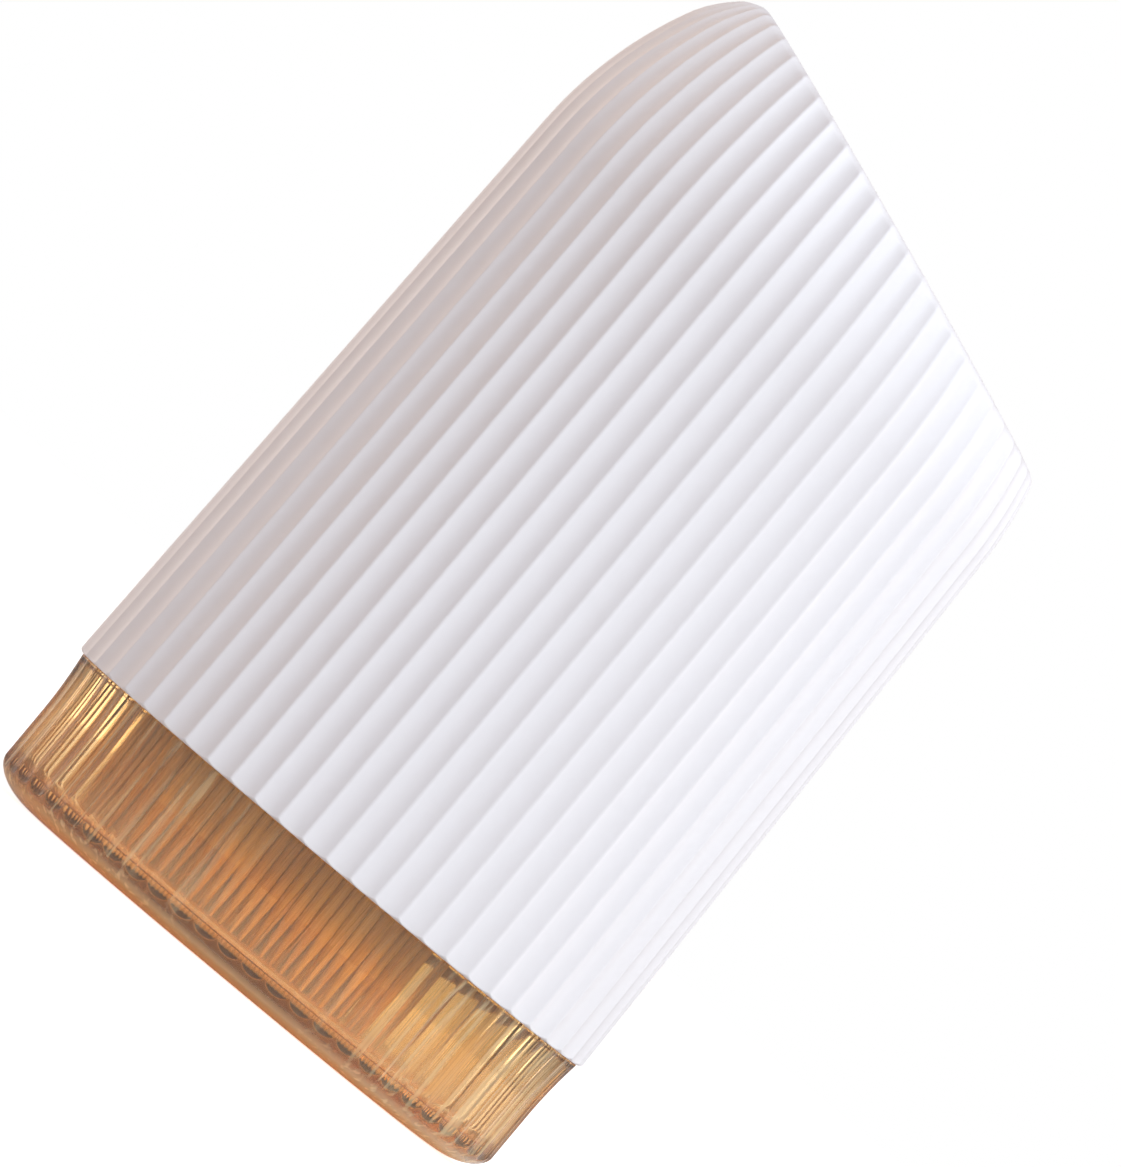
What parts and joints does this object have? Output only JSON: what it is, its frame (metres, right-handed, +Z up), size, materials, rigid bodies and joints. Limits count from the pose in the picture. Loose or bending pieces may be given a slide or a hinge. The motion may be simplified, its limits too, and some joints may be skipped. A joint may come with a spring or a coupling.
{
  "type": "toothpick holder",
  "caption": "Oval toothpick holder: a tall fluted cover with a sloping roof lifts straight up off a clear fluted cup that holds standing toothpicks.",
  "frame": {"origin": "middle of the cup's flat underside, on the surface that the holder stands on", "axes": "+Z up along the way the cover lifts, X along the oval's width with the high end of the roof at -X and the low end at +X, Y from the front to the back"},
  "size_m": [0.064, 0.043, 0.1065],
  "materials": {
    "clear_amber_plastic": "clear amber moulded polystyrene, polished",
    "white_plastic": "white moulded ABS, fine satin",
    "pale_wood": "turned pale birch or bamboo, unfinished"
  },
  "bodies": {
    "filled_cup": {"cup": "clear_amber_plastic", "toothpicks": "pale_wood"},
    "lifting_cover": {"cover": "white_plastic"}
  },
  "joints": [
    {"name": "cover_lift", "type": "slide", "parent": "filled_cup", "child": "lifting_cover", "axis": [0, 0, 1], "range_m": [0, 0.056]}
  ]
}
